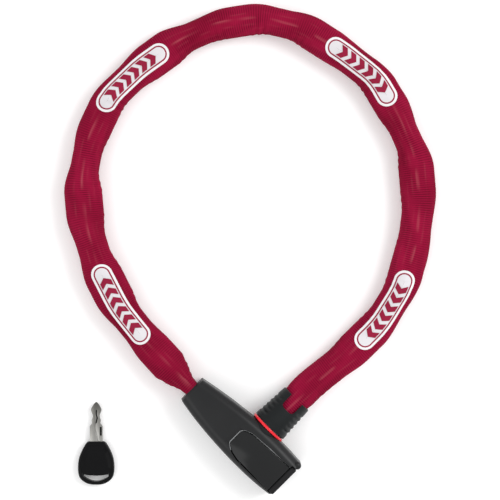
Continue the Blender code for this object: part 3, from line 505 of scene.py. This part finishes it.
def sleeve_piece(number, start, end):
    """One tube of the sleeve, with attributes for the cloth: its ribs, which paint shade into the rib
    valleys, and pale lines along the top folds, which are painted highlights.
    """
    s = np.arange(start, end + 1e-6, STEP)
    t = np.linspace(0, 2 * math.pi, COLUMNS, endpoint=False)
    grid_s, grid_t = np.meshgrid(s, t, indexing="ij")
    points, rib = surface(grid_s, grid_t)
    points[..., 2] = np.maximum(points[..., 2], FLOOR_GAP)
    verts, faces = skin(points.tolist(), closed_ends=False)
    ob = piece(f"sleeve_{number}", verts, faces, "fabric", sharp=180, slot="sleeve_fabric")
    # how much painted shade each rib valley gets, patchy along the sleeve; the ribs' shape is unchanged
    valley_shade_strength = np.clip(0.75 + 0.5 * ripple(grid_s / 11.0, grid_t * 2, 21), 0.35, 1)
    attribute(ob.data, "rib", 1 - (1 - rib) * valley_shade_strength)
    # painted highlights: pale lines along the top folds of the sleeve
    crease_highlight = np.zeros(grid_s.shape)
    for seed, (offset, strength) in enumerate(CREASES):
        drift = offset + 0.05 * np.sin(grid_s / 23.0 + seed)
        seen = np.clip(0.4 + 0.8 * ripple(grid_s / 4.5, 0 * grid_t, 8 + seed), 0, 1)
        crease_highlight += strength * seen * np.exp(-((grid_t - math.pi / 2 - drift) * TOP_RADIUS / CREASE_HALF) ** 2)
    attribute(ob.data, "ridge", crease_highlight)
    return ob


def sleeve_cuts():
    """Where one tube ends and the next begins: the middles of the runs, on whole ribs."""
    ends = [distance_of(np.array(JOINTS[h]["pos_m"]) / MM) for h in HINGES]
    middles = [(a + b) / 2 for a, b in zip(ends, ends[1:])]
    cuts = [MOUTH_S] + middles + [SLEEVE_END_S]
    return [round(c / RIB_PITCH) * RIB_PITCH for c in cuts]


REPLACED = [("sleeve_housing_end", "sleeve_run_1")] + [(f"sleeve_run_{k}",) for k in range(2, 8)] \
    + [("sleeve_connector_end",)]
CUTS = sleeve_cuts()
for k in range(8):
    sleeve = sleeve_piece(k + 1, CUTS[k], CUTS[k + 1])
    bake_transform(sleeve)
    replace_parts(sleeve, *REPLACED[k])

# ------------------------------------------------------------------ printed patches on the sleeve
PATCH_HALF = (37.5, 8.8)          # half length, half width
PATCH_BANDS = ((8.8, 6.8, 0), (6.8, 5.6, 2), (5.6, 0.0, 1))   # outer and inner distance, material
PATCH_LIFT, MARK_LIFT = 0.28, 0.62
CHEVRON_PLACES = (-21.5, -12.9, -4.3, 4.3, 12.9, 21.5)
CHEVRON_HALF, CHEVRON_THICK, CHEVRON_LEAN = 4.8, 5.2, 3.6
CHEVRON_ROWS, CHEVRON_COLUMNS = 17, 9

def on_sleeve(s, across, lift):
    """Points over the sleeve's top: distances along, and distances across measured on the cloth."""
    t = np.linspace(0, math.pi, 241)
    grid_s, grid_t = np.meshgrid(s, t, indexing="ij")
    ring = surface(grid_s, grid_t, ribs=0.0)[0]
    length = np.concatenate([np.zeros((len(s), 1)),
                             np.cumsum(np.linalg.norm(np.diff(ring, axis=1), axis=2), axis=1)],
                            axis=1)
    length -= length[:, 120:121]
    angle = np.array([np.interp(-c, row, t) for c, row in zip(across, length)])
    return surface(np.asarray(s), angle, lift=lift, ribs=0.55)[0]


def stadium_ring(distance, count=36):
    """A stadium outline a distance out from its middle segment, evenly stepped."""
    reach = PATCH_HALF[0] - PATCH_HALF[1]
    straight = np.linspace(-reach, reach, 100)
    top = [(x, distance) for x in straight]
    right = [(reach + distance * math.sin(a), distance * math.cos(a))
             for a in np.linspace(0, math.pi, count)[1:-1]]
    low = [(-x, -distance) for x in straight]
    left = [(-reach - distance * math.sin(a), -distance * math.cos(a))
            for a in np.linspace(0, math.pi, count)[1:-1]]
    return top + right + low + left


def patch(number, centre_s):
    """One white stadium with a crimson inline, shaped over the sleeve under it."""
    distances, bands = [PATCH_HALF[1]], []
    for outer, inner, mat in PATCH_BANDS:
        steps = max(1, round((outer - inner) / 0.8))
        for d in np.linspace(outer, inner, steps + 1)[1:]:
            distances.append(max(d, 0.02))
            bands.append(mat)
    rings = [stadium_ring(d) for d in distances]
    flat = np.array([p for ring in rings for p in ring])
    points = on_sleeve(centre_s + flat[:, 0], flat[:, 1], lift=PATCH_LIFT)
    count = len(rings[0])
    faces = []
    for r, mat in enumerate(bands):
        for i in range(count):
            j = (i + 1) % count
            faces.append(((r * count + i, r * count + j, (r + 1) * count + j, (r + 1) * count + i), mat))
    ob = piece(f"patch_{number}", points.tolist(), faces, ["print", "print_grey", "print_red"], sharp=180,
               slot="sleeve_fabric")
    ride_on_sleeve(ob)
    marks(number, centre_s)


def marks(number, centre_s):
    """A generic row of chevrons inside the patch."""
    verts, faces = [], []
    for x in CHEVRON_PLACES:
        base = len(verts)
        flat = np.array([(x + side * CHEVRON_THICK / 2 + CHEVRON_LEAN * (0.5 - abs(y) / CHEVRON_HALF), y)
                         for y in np.linspace(-CHEVRON_HALF, CHEVRON_HALF, CHEVRON_ROWS)
                         for side in np.linspace(-1, 1, CHEVRON_COLUMNS)])
        verts += on_sleeve(centre_s + flat[:, 0], flat[:, 1], lift=MARK_LIFT).tolist()
        for i in range(CHEVRON_ROWS - 1):
            for j in range(CHEVRON_COLUMNS - 1):
                a = base + CHEVRON_COLUMNS * i + j
                faces.append((a, a + 1, a + CHEVRON_COLUMNS + 1, a + CHEVRON_COLUMNS))
    ob = piece(f"patch_marks_{number}", verts, faces, "print_red", sharp=180, slot="sleeve_fabric")
    ride_on_sleeve(ob)


def ride_on_sleeve(ob):
    """Bakes a piece's placement into its mesh."""
    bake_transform(ob)


PATCHES = ((-106.6, -46.3, 1), (-98.4, 142.3, 2), (91.4, 144.7, 4), (111.9, -51.3, 6))   # x, y, hinge
for number, (x, y, k) in enumerate(PATCHES, 1):
    patch(number, distance_of((x, y, 12.5)))

# ------------------------------------------------------------------ connector boot and ring
BOOT_V = (1.7, 33.6)
BOOT_R = (15.4, 13.5)             # at the ring and at the chain end
BOOT_BORE = 12.65
BOOT_EDGE = 0.9                   # rounding of both ends
BOOT_RIB_DEPTH = 0.75
NOTCH_RADIUS = 3.4
NOTCH = (12.2, 12.4)              # width, length
BOOT_RIBS = (6.0, 25.5, 4.2)      # first, last, pitch


def boot():
    """The ribbed rubber boot; its ribs run up both sides and fade out over the top."""
    rings, bores = [], []
    for v in np.arange(BOOT_V[0], BOOT_V[1] + 1e-6, 0.35):
        v = min(v, BOOT_V[1])
        base = BOOT_R[0] + (BOOT_R[1] - BOOT_R[0]) * ((v - BOOT_V[0]) / (BOOT_V[1] - BOOT_V[0])) ** 1.4
        edge = min(v - BOOT_V[0], BOOT_V[1] - v)
        base -= BOOT_EDGE * (1 - math.sqrt(max(0.0, 1 - (1 - min(edge / BOOT_EDGE, 1)) ** 2)))
        ring = []
        for i in range(COLUMNS):
            a = 2 * math.pi * i / COLUMNS
            side = min(1.0, max(0.0, (abs(math.cos(a)) - 0.52) / 0.22))
            inside = min(1.0, max(0.0, min(v - BOOT_RIBS[0], BOOT_RIBS[1] + 1.9 - v) / 0.8))
            wave = 0.5 - 0.5 * math.cos(2 * math.pi * (v - BOOT_RIBS[0]) / BOOT_RIBS[2])
            r = base - BOOT_RIB_DEPTH * side * inside * wave ** 1.2
            ring.append(housing(r * math.cos(a), v, PIN_AXIS_Z + r * math.sin(a)))
        rings.append(ring)
        bores.append([housing(BOOT_BORE * math.cos(2 * math.pi * i / COLUMNS), v,
                              PIN_AXIS_Z + BOOT_BORE * math.sin(2 * math.pi * i / COLUMNS))
                      for i in range(COLUMNS)])
    outer_v, outer_f = skin(rings, closed_ends=False)
    inner_v, inner_f = skin(bores, closed_ends=False)
    offset = len(outer_v)
    faces = outer_f + [tuple(i + offset for i in f) for f in inner_f]
    for row in (0, len(rings) - 1):
        for i in range(COLUMNS):
            a, b = row * COLUMNS + i, row * COLUMNS + (i + 1) % COLUMNS
            faces.append((a, b, offset + b, offset + a))
    ob = piece("boot", outer_v + inner_v, faces, "rubber", slot="boot_rubber")
    half = NOTCH[0] / 2
    foot = BOOT_V[1] - NOTCH[1]
    corner = (half - NOTCH_RADIUS, foot + NOTCH_RADIUS)
    outline = arc(-corner[0], corner[1], NOTCH_RADIUS, 180, 270, 8)
    outline += arc(corner[0], corner[1], NOTCH_RADIUS, 270, 360, 8) + [(half, 50), (-half, 50)]
    cut(ob, [prism(outline, PIN_AXIS_Z + 3, PIN_AXIS_Z + 25, housing)], bevel=0.25)
    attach(ob, "connector")
    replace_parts(ob, "connector_boot")


def turned(name, profile, mat, body, slot):
    """A ring turned about the connector's axis from a closed profile of (radius, v)."""
    rings = []
    for i in range(COLUMNS):
        a = 2 * math.pi * i / COLUMNS
        rings.append([housing(r * math.cos(a), v, PIN_AXIS_Z + r * math.sin(a)) for r, v in profile])
    count = len(profile)
    verts, faces = skin(rings, closed_ends=False)
    last = (COLUMNS - 1) * count
    faces += [(last + i, last + (i + 1) % count, (i + 1) % count, i) for i in range(count)]
    ob = piece(name, verts, faces, mat, slot=slot)
    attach(ob, body)
    return ob


boot()
ring_profile = rounded([(6.7, -0.85), (15.8, -0.85), (15.8, 1.35), (6.7, 1.35)], 0.8, 6)
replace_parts(turned("ring", ring_profile, "red", "connector", "ring_red"), "red_ring")
collar_profile = rounded([(8.6, -8.2), (15.1, -8.2), (15.1, -1.2), (8.6, -1.2)], 1.0, 6)
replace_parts(turned("collar", collar_profile, "dark", "lock", "dark_plastic"), "socket_collar")

# ------------------------------------------------------------------ housing front shell
STATIONS = np.array((             # along the housing: u, low v, high v, top z
    (-66.5, -33.7, -9.8, 28.0), (-52.0, -36.2, -7.0, 29.6), (-36.0, -37.9, -4.4, 31.2),
    (-14.0, -39.3, -1.8, 32.6), (10.0, -39.4, -0.6, 33.0), (26.0, -38.6, -0.7, 33.0),
    (39.6, -36.8, -1.6, 32.6)))
STATION_SCALE = 50
FITS = [np.polyfit(STATIONS[:, 0] / STATION_SCALE, STATIONS[:, c], 4) for c in (1, 2, 3)]
SHELL_U = (-66.5, 39.6)
SHELL_ENDS = (1.3, 0.55, 0.15, 0.0)   # rounding of both ends, in steps
SPLIT_Z = 15.2
WALL = 2.0
PANEL_OUTLINE = (
    (-14.2, -29.4), (-14.2, -16.6), (-11.2, -13.6), (-5.6, -11.7), (12.7, -10.6), (34.9, -9.5),
    (34.9, -35.6), (0.0, -35.4), (-7.5, -33.9), (-12.2, -31.3),
)
PANEL_MIDDLE = Vector((14.0, -23.0))
PANEL_GAP = 0.8
CAP_OUTLINE = ((34.9, -35.8), (60, -35.8), (60, -7.0), (34.9, -7.0))
MOUTH_HALF = 6.2                  # half the width of the chain's mouth
SEAT_R = 15.5                     # the collar's seat
CHAMFER = (5.0, 4.2)              # across, down


def station(u):
    """The housing's low side, high side and top at a distance along it, on smooth curves."""
    return [float(np.polyval(fit, u / STATION_SCALE)) for fit in FITS]


def shell_section(u, inset, top_round=2.6):
    """The outer section of the front shell, with a rounded chamfer along both upper edges."""
    low, high, top = station(u)
    low, high, top = low + inset, high - inset, top - inset
    c, h = CHAMFER
    outline = [(low, SPLIT_Z), (low, top - h), (low + c, top), (high - c, top), (high, top - h),
               (high, SPLIT_Z)]
    pts = []
    for i, p in enumerate(outline):
        if i in (0, 5):
            pts.append(p)
            continue
        before, here, after = (Vector(outline[i + d]) for d in (-1, 0, 1))
        a = here + (before - here).normalized() * top_round
        b = here + (after - here).normalized() * top_round
        pts += [tuple(a * (1 - t) ** 2 + here * 2 * t * (1 - t) + b * t * t) for t in np.linspace(0, 1, 5)]
    return [housing(u, v, z) for v, z in pts]


def shell_hollow():
    """The room inside the front shell, open downwards."""
    rings = []
    for u in np.linspace(SHELL_U[0] + WALL, SHELL_U[1] - WALL, 20):
        low, high, top = station(u)
        low, high, top = low + WALL, high - WALL, top - WALL
        c = CHAMFER[0] - 0.8
        rings.append([housing(u, v, z) for v, z in (
            (low, SPLIT_Z - 3), (low, top - c), (low + c, top),
            (high - c, top), (high, top - c), (high, SPLIT_Z - 3))])
    return cutter(*skin(rings))


def panel_pocket():
    """The panel's outline with a gap round it, run out through the wide end."""
    pocket = []
    for p in PANEL_OUTLINE:
        q = Vector(p) + (Vector(p) - PANEL_MIDDLE).normalized() * PANEL_GAP
        pocket.append((60.0 if p[0] > 30 else q.x, q.y))
    return prism(rounded(pocket, 1.6), 26.0, 40.0, housing)


def panel_slope():
    """The slope that leads down to the panel's narrow end."""
    return cutter(*skin([
        [housing(-12.6, v, z) for v, z in ((-30.9, 30.5), (-14.6, 30.5), (-14.6, 40), (-30.9, 40))],
        [housing(-24.6, v, z) for v, z in ((-30.2, 34.7), (-15.4, 34.7), (-15.4, 40), (-30.2, 40))]]))


def collar_seat():
    """A round hole for the collar and the ring, along the connector's axis."""
    turn = np.linspace(0, 2 * math.pi, 72, endpoint=False)
    circle = [(SEAT_R * math.cos(a), PIN_AXIS_Z + SEAT_R * math.sin(a)) for a in turn]
    return cutter(*skin([[housing(u, v, z) for u, z in circle] for v in (-9.4, 6.0)]))


def front_shell():
    rings = [shell_section(SHELL_U[0] + SHELL_ENDS[0] - d, d * 0.8) for d in SHELL_ENDS]
    rings += [shell_section(u, 0.0) for u in np.linspace(SHELL_U[0] + 2.5, SHELL_U[1] - 2.5, 54)]
    rings += [shell_section(SHELL_U[1] - SHELL_ENDS[0] + d, d * 0.8) for d in reversed(SHELL_ENDS)]
    ob = piece("front_shell", *skin(rings), "housing", slot="housing_plastic")
    low, high = CHAIN_V - MOUTH_HALF, CHAIN_V + MOUTH_HALF
    mouth = prism([(-80, low), (-60, low), (-60, high), (-80, high)], 0.0, 26.4, housing)
    cut(ob, [shell_hollow(), panel_pocket(), mouth, panel_slope(), collar_seat(),
             prism(CAP_OUTLINE, 0.0, 40.0, housing)], sharp=30)
    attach(ob, "lock")
    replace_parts(ob, "housing_front_shell")


front_shell()

CORNER_POST = (37.9, -4.3, 3.2)   # the rounded corner beside the end cap: u, v, radius
post_rings = []
for inset, z in ((1.4, 3.6), (0.3, 4.6), (0.0, 6.0), (0.0, 29.8), (0.35, 30.9), (1.1, 31.7), (2.2, 32.1)):
    circle = arc(CORNER_POST[0], CORNER_POST[1], CORNER_POST[2] - inset, 0, 360, 40)[:-1]
    post_rings.append([housing(u, v, z) for u, v in circle])
post = piece("corner_post", *skin(post_rings), "housing", slot="housing_plastic")
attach(post, "lock")

panel_outline = rounded(PANEL_OUTLINE, 1.2)
panel_rings = [[housing(u, v, z) for u, v in shrunk(panel_outline, d)]
               for d, z in ((0.6, 29.8), (0.0, 30.3), (0.0, 30.8), (0.25, 31.25), (0.8, 31.5))]
panel = piece("panel", *skin(panel_rings), "panel", slot="panel_gloss")
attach(panel, "lock")
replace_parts(panel, "front_panel")

# ------------------------------------------------------------------ key
KEY_TIP = (-126.6, -126.0)        # x, y
KEY_BLADE = ((0.4, 0.0), (2.0, 1.6), (4.3, 5.6), (4.2, 7.2), (2.8, 10.6), (2.8, 12.6), (3.9, 15.0),
             (3.2, 17.4), (5.3, 19.6), (5.3, 36.0))   # half width, distance from the tip
BLADE_Z = (2.9, 5.1)
GROOVE = ((0.2, 6.5), (0.0, 10.0), (0.9, 13.0), (0.2, 16.0), (-0.9, 20.0), (-0.6, 24.0), (1.2, 28.0),
          (1.6, 33.0), (1.6, 40.0))   # across, distance from the tip
GROOVE_HALF = 0.55
SHADOW_UP_TO = 18                   # the groove's painted shadow runs from its start to here
SLOT = (3.0, 4.6, 20.4, 27.6)     # the blade's slot: its sides, its ends
FILL_GAP = 0.05
BOW = ((32.4, 6.6), (33.2, 7.8), (35.0, 9.1), (39.1, 11.4), (43.2, 13.2), (47.3, 14.4), (52.2, 14.9),
       (57.6, 14.8), (61.7, 13.8), (64.5, 11.4), (66.8, 7.7), (67.8, 3.5))   # from the tip, half width
BOW_THICK = 8.0
RING_SLOT_HALF = 10.2
RING_SLOT_UPPER, RING_SLOT_LOWER = (60.3, 59.2), (65.0, 61.2)   # edges at the middle and at the ends


def key_point(x, d, z):
    """A point of the key: across, distance from the tip, height."""
    return (KEY_TIP[0] + x, KEY_TIP[1] - d, z)


def strip(points, half):
    """The outline of a band about a line of points."""
    return [(x - half, d) for x, d in points] + [(x + half, d) for x, d in reversed(points)]


def box_outline(left, right, near, far):
    return [(left, near), (right, near), (right, far), (left, far)]


def key_blade():
    """The blade with its milled groove and slot, and dark pieces inside them that are painted shade."""
    outline = [(-x, d) for x, d in KEY_BLADE] + [(x, d) for x, d in reversed(KEY_BLADE)]
    outline = rounded(outline, 0.9, 4)
    rings = [[key_point(x, d, z) for x, d in outline] for z in BLADE_Z]
    ob = piece("blade", *skin(rings), "key", slot="key_steel")
    across, along = zip(*GROOVE)
    fine = [(float(np.interp(d, along, across)), d) for d in np.arange(along[0], along[-1], 1.0)]
    edge = strip(fine, GROOVE_HALF)
    tools = [prism(edge, BLADE_Z[1] - 0.7, 9.0, key_point), prism(edge, 0.0, BLADE_Z[0] + 0.6, key_point),
             prism(box_outline(*SLOT), 0, 9, key_point)]
    cut(ob, tools, sharp=40, bevel=0.18)
    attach(ob, "key")
    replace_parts(ob, "key_blade")
    # dark pieces laid into the groove and the slot: painted shade
    groove_shadow_outline = strip([p for p in fine if p[1] < SHADOW_UP_TO], GROOVE_HALF - FILL_GAP)
    fill_outline = box_outline(SLOT[0] + FILL_GAP, SLOT[1] - FILL_GAP, SLOT[2] + 0.1, SLOT[3] - 0.1)
    for name, shape, low, high in (("groove_shadow_fill", groove_shadow_outline, 3.6, 4.45),
                                   ("slot_shadow_fill", fill_outline, 3.1, 4.8)):
        shadow_piece = piece(name, *skin([[key_point(x, d, z) for x, d in shape] for z in (low, high)]), "groove",
                    slot="key_steel")
        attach(shadow_piece, "key")


def key_bow():
    """The key's plastic head, with a raised rim and a curved slot for a ring."""
    outline = rounded([(x, d) for d, x in BOW] + [(-x, d) for d, x in reversed(BOW)], 2.0, 4)
    rim = [(6.0, 0.55), (3.6, 0.55), (2.9, 0.0), (1.4, 0.0), (0.5, 0.35), (0.0, 1.3)]   # inset, depth
    profile = rim + [(inset, BOW_THICK - depth) for inset, depth in reversed(rim)]
    rings = [[key_point(x, d, z) for x, d in shrunk(outline, inset)] for inset, z in profile]
    ob = piece("bow", *skin(rings), "bow", slot="key_head_plastic")
    steps = np.linspace(-1, 1, 25)
    upper, lower = ([(RING_SLOT_HALF * t, middle + (end - middle) * t * t) for t in steps]
                    for middle, end in (RING_SLOT_UPPER, RING_SLOT_LOWER))
    cut(ob, [prism(upper + lower[::-1], -5, 20, key_point),
             prism(box_outline(-5.6, 5.6, 20, 36.3), BLADE_Z[0] - 0.3, BLADE_Z[1] + 0.3, key_point)])
    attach(ob, "key")
    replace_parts(ob, "key_bow")


key_blade()
key_bow()

# ------------------------------------------------------------------ stage and light
floor_mesh = bpy.data.meshes.new("floor")
floor_mesh.from_pydata([(-2, -2, 0), (2, -2, 0), (2, 2, 0), (-2, 2, 0)], [], [(0, 1, 2, 3)])
floor = bpy.data.objects.new("floor", floor_mesh)
bpy.context.scene.collection.objects.link(floor)
paper = Shader("paper", (0.93, 0.93, 0.93), 0.8)
paper.tint(paper.spread(paper.noise(3), 0, 1), 0.01)
paper.bsdf.inputs["Emission Color"].default_value = (1, 1, 1, 1)
paper.bsdf.inputs["Emission Strength"].default_value = 0.12
floor_mesh.materials.append(paper.mat)


def area(name, place, size, power):
    """A soft round light that looks at the origin."""
    data = bpy.data.lights.new(name, "AREA")
    data.shape, data.size, data.energy = "DISK", size, power
    ob = bpy.data.objects.new(name, data)
    ob.location = place
    ob.rotation_euler = (Vector((0, 0, 0)) - Vector(place)).to_track_quat("-Z", "Y").to_euler()
    bpy.context.scene.collection.objects.link(ob)


area("key_light", (1.3, 0.5, 1.5), 1.1, 19)
area("fill_light", (-1.1, -0.6, 1.4), 1.6, 7)

world = bpy.data.worlds.new("world")
bpy.context.scene.world = world
world.use_nodes = True
world.node_tree.nodes["Background"].inputs["Color"].default_value = (1, 1, 1, 1)
world.node_tree.nodes["Background"].inputs["Strength"].default_value = 0.85
